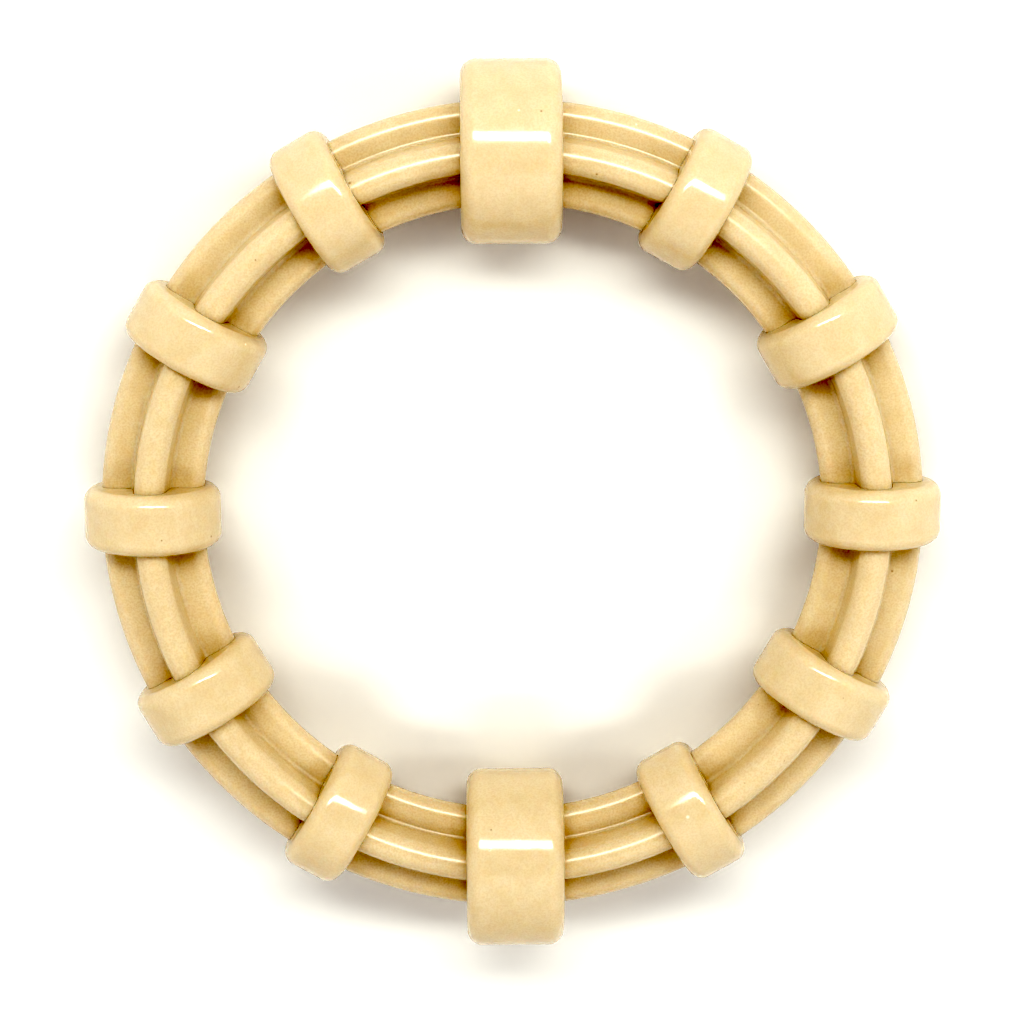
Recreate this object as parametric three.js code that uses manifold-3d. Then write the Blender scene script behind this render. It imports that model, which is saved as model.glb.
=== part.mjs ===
// Dog teething ring, in millimetres.
// It lies flat: +Z is the axis of the ring, and the origin is at its centre. A core with four ribs runs all
// the way round, made as two equal half rings. Their ends meet at +Y and -Y, inside two wide collars, and
// five narrow collars sit evenly on each half between them.

import * as THREE from 'three';
import { mergeVertices } from 'three/addons/utils/BufferGeometryUtils.js';
import Module from 'manifold-3d';

// Ring and pattern
const ringRadius = 60; // ring axis to the centre line of the core
const narrowPerHalf = 5; // narrow collars on each half of the core

// Core section, a plus sign of two side ribs and two face ribs
const sideRibReach = 8.5; // centre line to the tip of a side rib
const sideRibThickness = 4.7; // its tip is fully round
const faceRibHeight = 8.5; // centre line to the crown of a face rib
const faceRibTopWidth = 4.6; // between the flanks, measured at the crown
const faceRibRootWidth = 6.2; // between the flanks, measured at the side rib
const faceRibCrownRadius = 2.45; // rounding on both edges of the crown
const faceRibRootRadius = 0.85; // fillet between a flank and the side rib

// Narrow collars
const narrowRadius = 11.3;
const narrowWidth = 10.1;
const narrowRimRadius = 2.2;

// Wide collars
const wideRadius = 15;
const wideWidth = 16.4;
const wideRimRadius = 2.6;

// Joint between the two halves of the core
const spigotRadius = 2.2;
const spigotLength = 6;
const spigotRootDepth = 2; // how far the spigot is rooted in its own half

// Fits
const boreClearance = 0.3; // collar bore to the core, all round
const jointClearance = 0.3; // between the halves' end faces, round the spigot and past its tip

// Facets
const stepsPerPitch = 5; // steps of the core from one collar to the next
const tipSteps = 3; // steps in a quarter turn of a side rib's tip
const crownSteps = 3; // steps in the rounding of a face rib's crown
const rootSteps = 2; // steps in the fillet at a face rib's root
const rimSteps = 3; // steps in a collar's rounded rim
const narrowSides = 24; // a multiple of four, so that flats face up, down, in and out
const wideSides = 32; // a multiple of four
const spigotSides = 16;

const pitchAngle = Math.PI / (narrowPerHalf + 1);
const ringSteps = 2 * (narrowPerHalf + 1) * stepsPerPitch;

const wasm = await Module();
wasm.setup();

// A closed geometry as a solid that can be cut and joined
function toSolid(geometry) {
  const bare = geometry.clone();
  bare.deleteAttribute('normal');
  bare.deleteAttribute('uv');
  const merged = mergeVertices(bare);
  const vertProperties = new Float32Array(merged.attributes.position.array);
  const triVerts = new Uint32Array(merged.index.array);
  return new wasm.Manifold(new wasm.Mesh({ numProp: 3, vertProperties, triVerts }));
}

// A solid as a geometry with flat facets
function toGeometry(solid) {
  const mesh = solid.getMesh();
  const indexed = new THREE.BufferGeometry();
  indexed.setAttribute('position', new THREE.BufferAttribute(new Float32Array(mesh.vertProperties), 3));
  indexed.setIndex(new THREE.BufferAttribute(new Uint32Array(mesh.triVerts), 1));
  const geometry = indexed.toNonIndexed();
  geometry.computeVertexNormals();
  return geometry;
}

// Points of an arc round a centre, with both ends
function arc(centreX, centreY, radius, startAngle, endAngle, steps) {
  const points = [];
  for (let i = 0; i <= steps; i++) {
    const angle = startAngle + ((endAngle - startAngle) * i) / steps;
    const x = centreX + radius * Math.cos(angle);
    points.push(new THREE.Vector2(x, centreY + radius * Math.sin(angle)));
  }
  return points;
}

// A corner of an outline, rounded to a radius that touches both of its edges
function roundedCorner(before, corner, after, radius, steps) {
  const toBefore = before.clone().sub(corner).normalize();
  const toAfter = after.clone().sub(corner).normalize();
  const halfAngle = Math.acos(toBefore.dot(toAfter)) / 2;
  const middle = toBefore.clone().add(toAfter).normalize();
  const centre = middle.multiplyScalar(radius / Math.sin(halfAngle)).add(corner);
  const reach = radius / Math.tan(halfAngle);
  const start = toBefore.multiplyScalar(reach).add(corner).sub(centre);
  const end = toAfter.multiplyScalar(reach).add(corner).sub(centre);
  const startAngle = start.angle();
  const turn = Math.atan2(start.cross(end), start.dot(end));
  return arc(centre.x, centre.y, radius, startAngle, startAngle + turn, steps);
}

// One quarter of the core's section, from the side rib's tip to the face rib's crown.
// x is outwards from the centre line and y is up. The section grows by an even margin for a bore.
function quarterSection(margin) {
  const draft = Math.atan2((faceRibRootWidth - faceRibTopWidth) / 2, faceRibHeight - sideRibThickness / 2);
  const flankShift = margin * (1 / Math.cos(draft) - Math.tan(draft));
  const flatY = sideRibThickness / 2 + margin;
  const crownY = faceRibHeight + margin;
  const tip = new THREE.Vector2(sideRibReach + margin, flatY);
  const root = new THREE.Vector2(faceRibRootWidth / 2 + flankShift, flatY);
  const crown = new THREE.Vector2(faceRibTopWidth / 2 + flankShift, crownY);
  const middle = new THREE.Vector2(0, crownY);
  return [
    ...arc(tip.x - flatY, 0, flatY, 0, Math.PI / 2, tipSteps),
    ...roundedCorner(tip, root, crown, faceRibRootRadius - margin, rootSteps),
    ...roundedCorner(root, crown, middle, faceRibCrownRadius + margin, crownSteps),
  ];
}

// The whole section about the centre line: the quarter, turned over into the other three
function coreSection(margin) {
  const quarter = quarterSection(margin);
  const upper = [...quarter, ...quarter.map((p) => new THREE.Vector2(-p.x, p.y)).reverse()];
  const lower = upper.slice(1, -1).map((p) => new THREE.Vector2(p.x, -p.y));
  return [...upper, ...lower.reverse()];
}

// The section carried all the way round the ring's axis
function ringSolid(margin) {
  const profile = coreSection(margin).map((p) => new THREE.Vector2(ringRadius + p.x, p.y));
  profile.push(profile[0].clone());
  const ring = new THREE.LatheGeometry(profile, ringSteps);
  ring.rotateX(Math.PI / 2);
  return toSolid(ring);
}

// A round bar along X, on the core's centre line at the given y
function barSolid(radius, fromX, toX, y) {
  const bar = new THREE.CylinderGeometry(radius, radius, toX - fromX, spigotSides);
  bar.rotateZ(Math.PI / 2);
  bar.translate((fromX + toX) / 2, y, 0);
  return toSolid(bar);
}

// The half of the core on the +X side: a spigot at +Y and a socket at -Y
function coreHalf() {
  const faceX = jointClearance / 2;
  const reach = ringRadius + sideRibReach + faceRibHeight;
  const keep = new THREE.BoxGeometry(reach, 2 * reach, 2 * reach);
  keep.translate(faceX + reach / 2, 0, 0);
  const half = ringSolid(0).intersect(toSolid(keep));
  const spigot = barSolid(spigotRadius, faceX - spigotLength, faceX + spigotRootDepth, ringRadius);
  const otherTip = spigotLength - faceX; // how far the other half's spigot reaches into this one
  const socket = barSolid(spigotRadius + jointClearance, -faceX, otherTip + jointClearance, -ringRadius);
  return toGeometry(half.add(spigot).subtract(socket));
}

// A collar with its middle at the origin and its axis along Y, the ring's centre being at -X.
// Its flats stand at the given radius, and its bore follows the core round the ring.
function collar(radius, width, rimRadius, sides) {
  const halfWidth = width / 2;
  const flatRadius = radius - rimRadius;
  const lowerRim = arc(flatRadius, rimRadius - halfWidth, rimRadius, -Math.PI / 2, 0, rimSteps);
  const upperRim = arc(flatRadius, halfWidth - rimRadius, rimRadius, 0, Math.PI / 2, rimSteps);
  const ends = [new THREE.Vector2(0, -halfWidth), new THREE.Vector2(0, halfWidth)];
  const profile = [ends[0], ...lowerRim, ...upperRim, ends[1]];
  const cornerScale = 1 / Math.cos(Math.PI / sides);
  const body = new THREE.LatheGeometry(profile, sides, Math.PI / sides);
  body.scale(cornerScale, 1, cornerScale);
  const bore = ringSolid(boreClearance).translate([-ringRadius, 0, 0]);
  return toGeometry(toSolid(body).subtract(bore));
}

// A mesh in moulded cream nylon
function piece(name, geometry) {
  const finish = new THREE.MeshStandardMaterial({ color: '#f0dfb4', roughness: 0.22, metalness: 0 });
  const mesh = new THREE.Mesh(geometry, finish);
  mesh.name = name;
  return mesh;
}

const teethingRing = new THREE.Group();

const coreHalfGeometry = coreHalf();
const coreHalfRight = piece('core_half_right', coreHalfGeometry);
const coreHalfLeft = piece('core_half_left', coreHalfGeometry);
coreHalfLeft.rotation.z = Math.PI;
teethingRing.add(coreHalfRight, coreHalfLeft);

// A collar threaded on the core, at a clockwise angle from the top of the ring
function threaded(name, geometry, clockwise) {
  const angle = Math.PI / 2 - clockwise;
  const mesh = piece(name, geometry);
  mesh.position.set(ringRadius * Math.cos(angle), ringRadius * Math.sin(angle), 0);
  mesh.rotation.z = angle;
  return mesh;
}

const wideGeometry = collar(wideRadius, wideWidth, wideRimRadius, wideSides);
teethingRing.add(threaded('wide_collar_top', wideGeometry, 0));
teethingRing.add(threaded('wide_collar_bottom', wideGeometry, Math.PI));

const narrowGeometry = collar(narrowRadius, narrowWidth, narrowRimRadius, narrowSides);
for (let i = 0; i < 2 * narrowPerHalf; i++) {
  const onLeft = i >= narrowPerHalf;
  const clockwise = (i + 1) * pitchAngle + (onLeft ? pitchAngle : 0);
  const name = `narrow_collar_${String(i + 1).padStart(2, '0')}`;
  teethingRing.add(threaded(name, narrowGeometry, clockwise));
}

export default teethingRing;
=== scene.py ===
# Dog teething ring: two ribbed half rings of cream nylon, with ten narrow and two wide collars on them.
# Pieces are modelled in millimetres, in the CAD frame, and scaled to metres once they are done.

import math

import bmesh
import bpy
from mathutils import Matrix, Vector
from mathutils.bvhtree import BVHTree


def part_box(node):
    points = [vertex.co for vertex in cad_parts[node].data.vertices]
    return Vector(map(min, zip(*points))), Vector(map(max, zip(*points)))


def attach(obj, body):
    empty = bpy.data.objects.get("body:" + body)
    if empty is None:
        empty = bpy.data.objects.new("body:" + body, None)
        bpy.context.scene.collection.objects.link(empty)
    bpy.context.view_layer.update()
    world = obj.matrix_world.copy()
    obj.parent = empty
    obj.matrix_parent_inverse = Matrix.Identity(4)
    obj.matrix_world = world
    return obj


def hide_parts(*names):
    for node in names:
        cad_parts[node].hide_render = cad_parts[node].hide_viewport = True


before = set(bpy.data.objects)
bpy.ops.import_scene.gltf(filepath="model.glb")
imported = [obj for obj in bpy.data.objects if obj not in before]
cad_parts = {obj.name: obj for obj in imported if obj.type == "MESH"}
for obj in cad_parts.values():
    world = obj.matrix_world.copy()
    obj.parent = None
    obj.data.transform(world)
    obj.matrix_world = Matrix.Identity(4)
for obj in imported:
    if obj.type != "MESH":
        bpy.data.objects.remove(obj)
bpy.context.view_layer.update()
print("teething ring: frame loaded")

mm = 0.001
origin = Vector((0, 0, 0))


# Sizes that the frame already holds, in millimetres

def boxInMm(node):
    low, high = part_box(node)
    return low / mm, high / mm


def middleOf(node):
    low, high = boxInMm(node)
    return (low + high) / 2


def sizeOf(node):
    low, high = boxInMm(node)
    return high - low


ringRadius = middleOf("wide_collar_top").y  # ring axis to the core's centre line
coreReach = boxInMm("core_half_right")[1].x - ringRadius
coreHeight = boxInMm("core_half_right")[1].z
tableHeight = boxInMm("wide_collar_top")[0].z  # the wide collars reach lowest


# Cream nylon

def linear(hexColour):
    # sRGB hex to the linear colour that a shader takes
    channels = [int(hexColour[i:i + 2], 16) / 255 for i in (1, 3, 5)]
    return [c / 12.92 if c <= 0.04045 else ((c + 0.055) / 1.055) ** 2.4 for c in channels] + [1]


def addNode(tree, kind, settings=None, values=None, links=None):
    # One node, with its own settings, its socket values and what feeds its sockets
    node = tree.nodes.new(kind)
    for key, value in (settings or {}).items():
        setattr(node, key, value)
    for socket, value in (values or {}).items():
        node.inputs[socket].default_value = value
    for socket, source in (links or {}).items():
        tree.links.new(source, node.inputs[socket])
    return node


creamNylon = {
    "cream": "#DFD4BC",
    "cloudCream": "#D8CAAE",  # faint clouds in the melt
    "grainCream": "#D5C7AB",  # fine mottling
    "scorch": "#8A6236",  # burnt specks
    "pale": "#FFF6E4",  # undyed specks
    "cloudSize": 3.0,  # pale specks, and a painted glint on one collar
    "cloudDetail": 3.0,
    "cloudRoughness": 0.55,
    "cloudRamp": (0.4, 0.7),  # noise levels where a cloud begins and is full
    "cloudShare": 0.4,  # how strongly a cloud tints the body
    "grainSize": 0.33,  # mm, as coarse as it needs to show
    "grainDetail": 2.0,
    "grainRamp": (0.4, 0.65),  # noise levels where the mottling begins and is full
    "grainHeight": 0.0015,  # mm
    "speckSpacing": 6.0,  # mm, in space, between the small scorched specks
    "speckRadius": 0.16,  # mm
    "speckCore": 0.6,  # share of the radius inside which a small speck is full
    "speckStrength": 0.5,  # how strong a small speck is against a larger one
    "markEdge": 1.2,  # share of its radius at which a larger speck ends
    "markCore": 0.2,  # and share inside which it is full
    "scorchShare": 0.45,  # how strongly a speck tints the body
    "paleShare": 0.8,
    "pitDepth": 0.01,  # mm, under each speck
    "waveLength": 2.4,  # mm, the slight unevenness of a moulded face
    "waveDetail": 1.0,
    "waveHeight": 0.022,  # mm
    "partingWidth": 0.24,  # mm, the raised line where the mould's halves met
    "partingHeight": 0.025,  # mm
    "ior": 1.55,
    "scatterWeight": 0.6,
    "scatterDepth": 1.0,  # mm, how far red light travels inside
    "scatterRadius": (1.0, 0.75, 0.5),  # and green and blue, as shares of it
}

# A tool's grooves are polished less than its rounds, and the grain shows more in them
polish = {
    "core": {"roughness": 0.26, "grainShare": 0.6},
    "collars": {"roughness": 0.12, "grainShare": 0.44},
}

# Larger specks: degrees clockwise from the ring's top, then in mm how far out each is from the core's
# centre line, and its radius
coreMarks = {
    "scorch": [(13.5, -1.5, 0.22), (-25, 1.5, 0.28), (99, 4, 0.24), (-43.5, 0, 0.16)],
    "pale": [(17.5, 7.5, 0.2)],
}
# On the collars, the pale spot at 150 degrees is a painted glint of the lamp on the gate mark, laid over its
# bump
collarMarks = {
    "scorch": [(4, 7.5, 0.2), (184.5, -8.5, 0.18), (184.5, -5.5, 0.16), (-63.5, -10, 0.2), (87, 6, 0.2),
               (-93, -10, 0.2), (-92, -2.5, 0.16)],
    "pale": [(1, 7.5, 0.22), (150, -2.5, 0.3), (-55.5, -7.5, 0.2)],
}

# Both nylons are mixed once the pieces are made, because their specks are dropped on the pieces
coreNylon = bpy.data.materials.new("mouldedCreamNylonCore")
collarNylon = bpy.data.materials.new("mouldedCreamNylonCollar")


def surfaceOf(piece):
    mesh = piece.data
    return BVHTree.FromPolygons([v.co for v in mesh.vertices], [tuple(f.vertices) for f in mesh.polygons])


def dropped(marks, pieces):
    # Where a plumb line at each mark first meets the pieces, in metres, with the mark's radius
    surfaces = [surfaceOf(piece) for piece in pieces]
    down = Vector((0, 0, -1))
    spots = []
    for clockwise, outwards, radius in marks:
        angle = math.radians(90 - clockwise)
        reach = (ringRadius + outwards) * mm
        start = Vector((reach * math.cos(angle), reach * math.sin(angle), ringRadius * mm))  # well above them
        landings = [surface.ray_cast(start, down)[0] for surface in surfaces]
        highest = max((spot for spot in landings if spot is not None), key=lambda spot: spot.z)
        spots.append((highest, radius))
    return spots


def mouldedCreamNylon(material, pieces, marks, finish):
    # Injection moulded nylon from a polished tool: a clear gloss over a milky body that lets light in,
    # with faint clouds and mottling, a few burnt and pale specks, a painted glint on one collar, and the
    # parting line of the mould
    nylon = creamNylon
    material.use_nodes = True
    tree = material.node_tree
    tree.nodes.clear()
    place = addNode(tree, "ShaderNodeTexCoord").outputs["Object"]
    perMetre = 1 / mm

    def marked(kind):
        # Where the marks of one kind are, from 0 to 1
        mask = None
        for spot, radius in dropped(marks[kind], pieces):
            away = addNode(tree, "ShaderNodeVectorMath", {"operation": "DISTANCE"}, {1: spot},
                           {0: place}).outputs["Value"]
            here = addNode(tree, "ShaderNodeMapRange",
                           values={"From Min": nylon["markEdge"] * radius * mm,
                                   "From Max": nylon["markCore"] * radius * mm},
                           links={"Value": away}).outputs["Result"]
            if mask:
                here = addNode(tree, "ShaderNodeMath", {"operation": "MAXIMUM"},
                               links={0: mask, 1: here}).outputs["Value"]
            mask = here
        return mask

    clouds = addNode(tree, "ShaderNodeTexNoise",
                     values={"Scale": perMetre / nylon["cloudSize"], "Detail": nylon["cloudDetail"],
                             "Roughness": nylon["cloudRoughness"]},
                     links={"Vector": place}).outputs["Fac"]
    cloudy = addNode(tree, "ShaderNodeMapRange",
                     values={"From Min": nylon["cloudRamp"][0], "From Max": nylon["cloudRamp"][1],
                             "To Max": nylon["cloudShare"]},
                     links={"Value": clouds}).outputs["Result"]
    grain = addNode(tree, "ShaderNodeTexNoise",
                    values={"Scale": perMetre / nylon["grainSize"], "Detail": nylon["grainDetail"]},
                    links={"Vector": place}).outputs["Fac"]
    grainy = addNode(tree, "ShaderNodeMapRange",
                     values={"From Min": nylon["grainRamp"][0], "From Max": nylon["grainRamp"][1],
                             "To Max": finish["grainShare"]},
                     links={"Value": grain}).outputs["Result"]
    specks = addNode(tree, "ShaderNodeTexVoronoi", values={"Scale": perMetre / nylon["speckSpacing"]},
                     links={"Vector": place}).outputs["Distance"]
    speckEdge = nylon["speckRadius"] / nylon["speckSpacing"]
    specks = addNode(tree, "ShaderNodeMapRange",
                     values={"From Min": speckEdge, "From Max": nylon["speckCore"] * speckEdge,
                             "To Max": nylon["speckStrength"]},
                     links={"Value": specks}).outputs["Result"]
    scorched = addNode(tree, "ShaderNodeMath", {"operation": "MAXIMUM"},
                       links={0: specks, 1: marked("scorch")}).outputs["Value"]
    pale = marked("pale")

    # Colour: each tint is laid over the ones before it
    body = addNode(tree, "ShaderNodeMix", {"data_type": "RGBA"},
                   {"A": linear(nylon["cream"]), "B": linear(nylon["cloudCream"])},
                   {"Factor": cloudy}).outputs["Result"]
    burnt = addNode(tree, "ShaderNodeMath", {"operation": "MULTIPLY"}, {1: nylon["scorchShare"]},
                    {0: scorched}).outputs["Value"]
    # Pale specks, one of them a painted glint of the lamp
    paleSpeckAndGlint = addNode(tree, "ShaderNodeMath", {"operation": "MULTIPLY"}, {1: nylon["paleShare"]},
                     {0: pale}).outputs["Value"]
    for mask, colour in ((grainy, "grainCream"), (burnt, "scorch"), (paleSpeckAndGlint, "pale")):
        body = addNode(tree, "ShaderNodeMix", {"data_type": "RGBA"}, {"B": linear(nylon[colour])},
                       {"Factor": mask, "A": body}).outputs["Result"]

    # Heights in mm: the parting line, uneven faces, grain, and a pit or a bump at each speck
    waves = addNode(tree, "ShaderNodeTexNoise",
                    values={"Scale": perMetre / nylon["waveLength"], "Detail": nylon["waveDetail"]},
                    links={"Vector": place}).outputs["Fac"]
    level = addNode(tree, "ShaderNodeSeparateXYZ", links={"Vector": place}).outputs["Z"]
    fromParting = addNode(tree, "ShaderNodeMath", {"operation": "ABSOLUTE"},
                          links={0: level}).outputs["Value"]
    height = addNode(tree, "ShaderNodeMapRange",
                     values={"From Max": nylon["partingWidth"] / 2 * mm, "To Min": nylon["partingHeight"],
                             "To Max": 0.0},
                     links={"Value": fromParting}).outputs["Result"]
    for mask, rise in ((waves, nylon["waveHeight"]), (grain, nylon["grainHeight"]),
                       (scorched, -nylon["pitDepth"]), (pale, nylon["pitDepth"])):
        height = addNode(tree, "ShaderNodeMath", {"operation": "MULTIPLY_ADD"}, {1: rise},
                         {0: mask, 2: height}).outputs["Value"]
    bump = addNode(tree, "ShaderNodeBump", values={"Distance": mm},
                   links={"Height": height}).outputs["Normal"]

    shader = addNode(tree, "ShaderNodeBsdfPrincipled", {"subsurface_method": "RANDOM_WALK"},
                     {"Roughness": finish["roughness"], "IOR": nylon["ior"],
                      "Subsurface Weight": nylon["scatterWeight"],
                      "Subsurface Radius": nylon["scatterRadius"],
                      "Subsurface Scale": nylon["scatterDepth"] * mm},
                     {"Base Color": body, "Normal": bump}).outputs["BSDF"]
    addNode(tree, "ShaderNodeOutputMaterial", links={"Surface": shader})


# Mesh helpers

closeness = {"weld": 0.0005, "outlineWeld": 0.001, "onFace": 0.0001}  # mm, what counts as the same place


def roundCorners(bm, corners, reach, segments):
    # Rounds corners of a flat outline; reach is how far the rounding runs along each edge
    bmesh.ops.bevel(bm, geom=corners, offset=reach, offset_type="OFFSET", segments=segments, profile=0.5,
                    affect="VERTICES", clamp_overlap=True, material=-1)


def boundaryAt(bm, test):
    return [e for e in bm.edges if len(e.link_faces) == 1 and all(test(v.co) for v in e.verts)]


def finished(bm, name, node, material):
    bmesh.ops.remove_doubles(bm, verts=bm.verts, dist=closeness["weld"])
    bmesh.ops.recalc_face_normals(bm, faces=bm.faces)
    bmesh.ops.scale(bm, vec=(mm, mm, mm), verts=bm.verts)
    mesh = bpy.data.meshes.new(name)
    bm.to_mesh(mesh)
    bm.free()
    mesh.shade_smooth()
    mesh.materials.append(material)
    piece = bpy.data.objects.new(name, mesh)
    bpy.context.scene.collection.objects.link(piece)
    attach(piece, "root")
    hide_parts(node)
    return piece


# Ribbed core

ribs = {
    "sideThickness": 4.7,
    "topWidth": 4.6,  # face rib, between its flanks at the crown
    "rootWidth": 6.2,  # and at the side rib
    "crownRadius": 2.45,
    "rootRadius": 0.85,
    "tipSegments": 8,
    "crownSegments": 8,
    "rootSegments": 6,
    "stepsPerHalf": 180,
}

halfJoint = {
    "gap": 0.3,  # between the two halves' end faces
    "spigotRadius": 2.2,
    "spigotLength": 6.0,
    "tipChamfer": 0.4,
    "chamferSegments": 2,
    "clearance": 0.3,
    "segments": 48,
}


def coreSection(bm, margin=0.0):
    # The plus-shaped section as one face in the XZ plane, its middle on the core's centre line at +X
    flat = ribs["sideThickness"] / 2
    draft = math.atan2((ribs["rootWidth"] - ribs["topWidth"]) / 2, coreHeight - flat)
    shift = margin * (1 / math.cos(draft) - math.tan(draft))
    tip = (coreReach + margin, flat + margin)
    root = (ribs["rootWidth"] / 2 + shift, flat + margin)
    crown = (ribs["topWidth"] / 2 + shift, coreHeight + margin)
    upper = [tip, root, crown] + [(-x, z) for x, z in (crown, root, tip)]
    outline = upper + [(x, -z) for x, z in reversed(upper)]
    corners = [bm.verts.new((ringRadius + x, 0, z)) for x, z in outline]
    bm.faces.new(corners)
    ease = math.tan((math.pi / 2 - draft) / 2)
    tips = [v for v, p in zip(corners, outline) if abs(p[0]) == tip[0]]
    crowns = [v for v, p in zip(corners, outline) if abs(p[1]) == crown[1]]
    roots = [v for v in corners if v not in tips and v not in crowns]
    roundCorners(bm, tips, flat + margin, ribs["tipSegments"])
    roundCorners(bm, crowns, (ribs["crownRadius"] + margin) * ease, ribs["crownSegments"])
    roundCorners(bm, roots, (ribs["rootRadius"] - margin) * ease, ribs["rootSegments"])
    bmesh.ops.remove_doubles(bm, verts=bm.verts, dist=closeness["outlineWeld"])
    bm.faces.ensure_lookup_table()
    return bm.faces[0]


def sweepRound(bm, geom, fromAngle, toAngle, steps):
    # Carries a section round the ring's axis
    bmesh.ops.rotate(bm, verts=bm.verts, cent=origin, matrix=Matrix.Rotation(fromAngle, 3, "Z"))
    bmesh.ops.spin(bm, geom=geom, cent=origin, axis=(0, 0, 1), angle=toAngle - fromAngle, steps=steps,
                   use_merge=False, use_duplicate=False)


def roundEnd(bm, endFace, angle, radius, travel):
    # Opens an end face of the core by a circle, and runs the circle out as a spigot or in as a socket
    sectionEdges = list(endFace.edges)
    bmesh.ops.delete(bm, geom=[endFace], context="FACES_ONLY")
    turn = Matrix.Rotation(angle, 4, "Z")
    upright = Matrix.Translation((ringRadius, 0, 0)) @ Matrix.Rotation(math.pi / 2, 4, "X")
    circle = bmesh.ops.create_circle(bm, radius=radius, segments=halfJoint["segments"],
                                     matrix=turn @ upright)
    circleEdges = list({e for v in circle["verts"] for e in v.link_edges})
    bmesh.ops.triangle_fill(bm, use_beauty=True, edges=sectionEdges + circleEdges)
    wall = bmesh.ops.extrude_edge_only(bm, edges=circleEdges)["geom"]
    rim = [v for v in wall if isinstance(v, bmesh.types.BMVert)]
    bmesh.ops.translate(bm, verts=rim, vec=turn.to_3x3() @ Vector((0, travel, 0)))
    lid = bmesh.ops.contextual_create(bm, geom=[e for e in wall if isinstance(e, bmesh.types.BMEdge)
                                                and all(v in rim for v in e.verts)])
    bmesh.ops.bevel(bm, geom=list(lid["faces"][0].edges), offset=halfJoint["tipChamfer"],
                    offset_type="OFFSET", segments=halfJoint["chamferSegments"], profile=0.5,
                    affect="EDGES", material=-1)


def coreHalf(name, node, turned):
    bm = bmesh.new()
    section = coreSection(bm)
    halfGap = halfJoint["gap"] / 2 / ringRadius
    topAngle = math.pi / 2 - halfGap
    sweepRound(bm, bm.verts[:] + bm.edges[:] + [section], -topAngle, topAngle, ribs["stepsPerHalf"])
    sections = (f for f in bm.faces if len(f.verts) > 4)  # all other faces are quads
    bottomEnd, topEnd = sorted(sections, key=lambda f: f.calc_center_median().y)
    roundEnd(bm, topEnd, topAngle, halfJoint["spigotRadius"], halfJoint["spigotLength"])
    roundEnd(bm, bottomEnd, -topAngle, halfJoint["spigotRadius"] + halfJoint["clearance"],
             halfJoint["spigotLength"] + halfJoint["clearance"])
    bmesh.ops.rotate(bm, verts=bm.verts, cent=origin, matrix=Matrix.Rotation(turned, 3, "Z"))
    return finished(bm, name, node, coreNylon)


coreHalves = [coreHalf("ribbedHalfRight", "core_half_right", 0),
              coreHalf("ribbedHalfLeft", "core_half_left", math.pi)]
mouldedCreamNylon(coreNylon, coreHalves, coreMarks, polish["core"])
print("teething ring: ribbed halves swept")


# Collars

collars = {
    "narrowCount": 10,
    "narrowRim": 2.2,  # radius of the rounded rims
    "wideRim": 2.6,
    "rimSegments": 12,
    "turns": 144,  # facets round a collar
    "boreClearance": 0.015,  # a tight fit, so only a thin line shows
    "boreSteps": 16,
    "boreOverrun": 1.1,  # the bore is swept this far past both faces, as a share, and cut back
    "mouthRound": 0.04,  # the bore's edges are broken
    "mouthSegments": 2,
    "faceBorder": 0.12,  # keeps the flat end faces' shading flat
}


def collar(name, node, radius, width, rim):
    bm = bmesh.new()
    halfWidth = width / 2
    faceRadius = radius - rim

    def onFace(co):
        return abs(abs(co.y) - halfWidth) < closeness["onFace"]

    bore = coreSection(bm, collars["boreClearance"])
    bmesh.ops.delete(bm, geom=[bore], context="FACES_ONLY")
    spread = math.atan2(collars["boreOverrun"] * halfWidth, ringRadius - coreReach)
    sweepRound(bm, bm.verts[:] + bm.edges[:], -spread, spread, collars["boreSteps"])
    for end in (-1, 1):
        bmesh.ops.bisect_plane(bm, geom=bm.verts[:] + bm.edges[:] + bm.faces[:],
                               plane_co=(0, end * halfWidth, 0), plane_no=(0, end, 0), clear_outer=True)
    mouthVerts = {v for e in boundaryAt(bm, onFace) for v in e.verts}

    boreVerts = set(bm.verts)
    profile = [(faceRadius, -halfWidth), (radius, -halfWidth), (radius, halfWidth), (faceRadius, halfWidth)]
    points = [bm.verts.new((ringRadius + x, y, 0)) for x, y in profile]
    for start, end in zip(points, points[1:]):
        bm.edges.new((start, end))
    roundCorners(bm, points[1:3], rim, collars["rimSegments"])
    outer = [v for v in bm.verts if v not in boreVerts]
    outerEdges = [e for e in bm.edges if not any(v in boreVerts for v in e.verts)]
    bmesh.ops.spin(bm, geom=outer + outerEdges, cent=(ringRadius, 0, 0), axis=(0, 1, 0), angle=2 * math.pi,
                   steps=collars["turns"], use_merge=True, use_duplicate=False)
    bmesh.ops.remove_doubles(bm, verts=[v for v in bm.verts if v not in boreVerts], dist=closeness["weld"])

    for end in (-1, 1):
        edges = boundaryAt(bm, lambda co: onFace(co) and co.y * end > 0)
        bmesh.ops.triangle_fill(bm, use_beauty=True, edges=edges, normal=(0, end, 0))
    mouths = [e for e in bm.edges if all(v in mouthVerts for v in e.verts)
              and any(not all(onFace(v.co) for v in f.verts) for f in e.link_faces)]
    bmesh.ops.bevel(bm, geom=mouths, offset=collars["mouthRound"], offset_type="OFFSET",
                    segments=collars["mouthSegments"], profile=0.5, affect="EDGES", material=-1)
    faces = [f for f in bm.faces if all(onFace(v.co) for v in f.verts)]
    bmesh.ops.inset_region(bm, faces=faces, thickness=collars["faceBorder"], use_even_offset=True,
                           use_boundary=True)

    middle = middleOf(node)
    angle = math.atan2(middle.y, middle.x)
    bmesh.ops.rotate(bm, verts=bm.verts, cent=origin, matrix=Matrix.Rotation(angle, 3, "Z"))
    return finished(bm, name, node, collarNylon)


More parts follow.
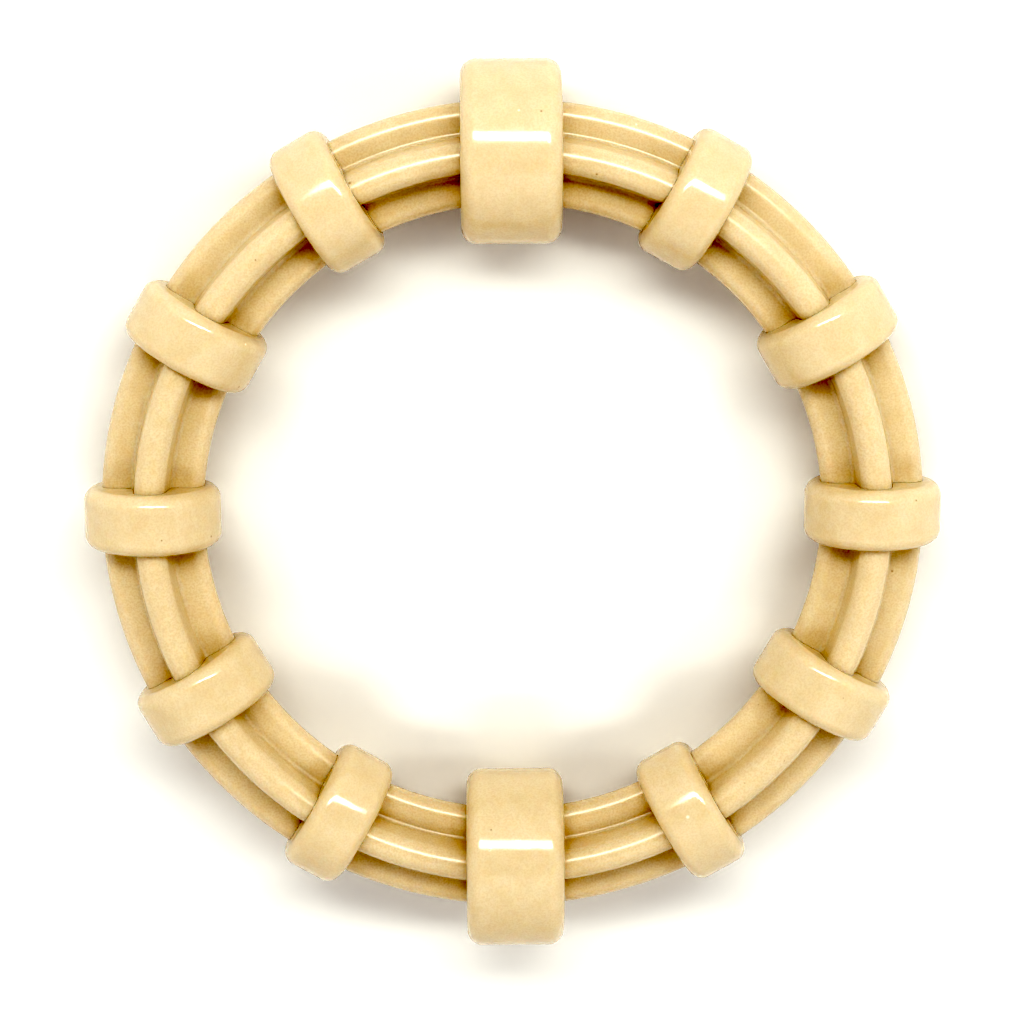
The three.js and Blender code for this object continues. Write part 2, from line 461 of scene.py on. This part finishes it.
wideSize = sizeOf("wide_collar_top")
narrowSize = sizeOf("narrow_collar_03")  # the one at +X, square to the frame
allCollars = []
for side in ("Top", "Bottom"):
    allCollars.append(collar("wideCollar" + side, "wide_collar_" + side.lower(), wideSize.z / 2,
                             wideSize.x, collars["wideRim"]))
for number in range(1, collars["narrowCount"] + 1):
    allCollars.append(collar(f"narrowCollar{number:02d}", f"narrow_collar_{number:02d}", narrowSize.z / 2,
                             narrowSize.y, collars["narrowRim"]))
mouldedCreamNylon(collarNylon, allCollars, collarMarks, polish["collars"])
print("teething ring: collars turned and bored")


# Table

table = {"span": 20000, "colour": "#EFEEEA", "roughness": 0.7}  # so wide that low views don't show its edge


def paleTable():
    bm = bmesh.new()
    bmesh.ops.create_grid(bm, x_segments=1, y_segments=1, size=table["span"] / 2 * mm,
                          matrix=Matrix.Translation((0, 0, tableHeight * mm)))
    mesh = bpy.data.meshes.new("table")
    bm.to_mesh(mesh)
    bm.free()
    material = bpy.data.materials.new("matteTable")
    material.use_nodes = True
    shader = material.node_tree.nodes["Principled BSDF"]
    shader.inputs["Base Color"].default_value = linear(table["colour"])
    shader.inputs["Roughness"].default_value = table["roughness"]
    mesh.materials.append(material)
    piece = bpy.data.objects.new("table", mesh)
    bpy.context.scene.collection.objects.link(piece)


paleTable()


# Light: a white room, a long lamp beyond the ring's top, weaker ones round it, and a dark card overhead

room = {"colour": "#FFFFFF", "strength": 0.89}
lamps = {  # places and sizes in mm; a lamp without seenBy lights the body and shows in reflections
    "longLamp": {"place": (30, 285, 540), "size": (560, 100), "watts": 1.35},
    "lampTube": {"place": (30, 285, 539), "size": (440, 100), "watts": 1.6, "seenBy": "gloss"},
    "backLamp": {"place": (0, 350, 500), "size": (950, 80), "watts": 1.2, "seenBy": "body"},
    "rightLamp": {"place": (467, 0, 392), "size": (80, 300), "watts": 0.68, "seenBy": "body"},
    "leftLamp": {"place": (-467, 0, 392), "size": (80, 300), "watts": 0.46, "seenBy": "body"},
    "frontLamp": {"place": (0, -330, 510), "size": (300, 80), "watts": 0.6, "seenBy": "body"},
}
card = {"low": (-330, -106), "high": (330, 150), "height": 400, "colour": "#4A4A4A", "roughness": 1.0}


def whiteRoom():
    world = bpy.data.worlds.new("whiteRoom")
    bpy.context.scene.world = world
    world.use_nodes = True
    backdrop = world.node_tree.nodes["Background"]
    backdrop.inputs["Color"].default_value = linear(room["colour"])
    backdrop.inputs["Strength"].default_value = room["strength"]


def softLamp(name):
    # A rectangle of light that faces the middle of the ring; one that only the body sees leaves no highlight
    lamp = lamps[name]
    light = bpy.data.lights.new(name, "AREA")
    light.shape = "RECTANGLE"
    light.size, light.size_y = (side * mm for side in lamp["size"])
    light.energy = lamp["watts"]
    place = Vector(lamp["place"]) * mm
    piece = bpy.data.objects.new(name, light)
    piece.matrix_world = Matrix.Translation(place) @ place.to_track_quat("Z", "Y").to_matrix().to_4x4()
    piece.visible_camera = False
    piece.visible_diffuse = lamp.get("seenBy") != "gloss"
    piece.visible_glossy = lamp.get("seenBy") != "body"
    bpy.context.scene.collection.objects.link(piece)


def darkCard():
    bm = bmesh.new()
    bmesh.ops.create_grid(bm, x_segments=1, y_segments=1, size=0.5)  # one across, then scaled to the card
    low, high = Vector(card["low"]), Vector(card["high"])
    middle = (low + high) / 2
    bmesh.ops.scale(bm, vec=(high.x - low.x, high.y - low.y, 1), verts=bm.verts)
    bmesh.ops.translate(bm, verts=bm.verts, vec=(middle.x, middle.y, card["height"]))
    bmesh.ops.scale(bm, vec=(mm, mm, mm), verts=bm.verts)
    mesh = bpy.data.meshes.new("darkCard")
    bm.to_mesh(mesh)
    bm.free()
    material = bpy.data.materials.new("blackCard")
    material.use_nodes = True
    shader = material.node_tree.nodes["Principled BSDF"]
    shader.inputs["Base Color"].default_value = linear(card["colour"])
    shader.inputs["Roughness"].default_value = card["roughness"]
    mesh.materials.append(material)
    piece = bpy.data.objects.new("darkCard", mesh)
    bpy.context.scene.collection.objects.link(piece)
    piece.visible_camera = False


whiteRoom()
for lampName in lamps:
    softLamp(lampName)
darkCard()


# Camera: nearly overhead, leaning towards the ring's top

camera = {
    "lean": 11.6,  # degrees from straight down
    "swing": -2.3,  # degrees, which way it leans, from +Y
    "roll": 0.33,  # degrees
    "distance": 488,  # mm
    "aim": (-0.17, 0.07, 0),  # mm
    "focalLength": 102.8,  # mm
    "frameWidth": 36,  # mm
    "nearest": 10,  # mm, where the view begins
}


def photographCamera():
    lean, swing, roll = (math.radians(camera[k]) for k in ("lean", "swing", "roll"))
    back = Vector((math.sin(lean) * math.sin(swing), math.sin(lean) * math.cos(swing), math.cos(lean)))
    up = Vector((0, 1, 0))
    up = (up - back * up.dot(back)).normalized()
    right = up.cross(back)
    rolledRight = right * math.cos(roll) - up * math.sin(roll)
    rolledUp = right * math.sin(roll) + up * math.cos(roll)
    place = (Vector(camera["aim"]) + back * camera["distance"]) * mm
    turn = Matrix((rolledRight, rolledUp, back)).transposed().to_4x4()
    lens = bpy.data.cameras.new("photographCamera")
    lens.sensor_width = camera["frameWidth"]
    lens.lens = camera["focalLength"]
    lens.clip_start = camera["nearest"] * mm
    piece = bpy.data.objects.new("photographCamera", lens)
    piece.matrix_world = Matrix.Translation(place) @ turn
    bpy.context.scene.collection.objects.link(piece)
    bpy.context.scene.camera = piece


photographCamera()


# Tone: strong contrast and a raised black point, which leaves the shadows golden brown

tone = {"gamma": 0.8, "blackPoint": (0.38, 0.395, 0.355)}  # red, green, blue


def photographTone():
    view = bpy.context.scene.view_settings
    view.view_transform = "Standard"
    view.gamma = tone["gamma"]
    view.use_curve_mapping = True
    view.curve_mapping.black_level = tone["blackPoint"]
    view.curve_mapping.update()


photographTone()
print("teething ring: table, light and camera set")
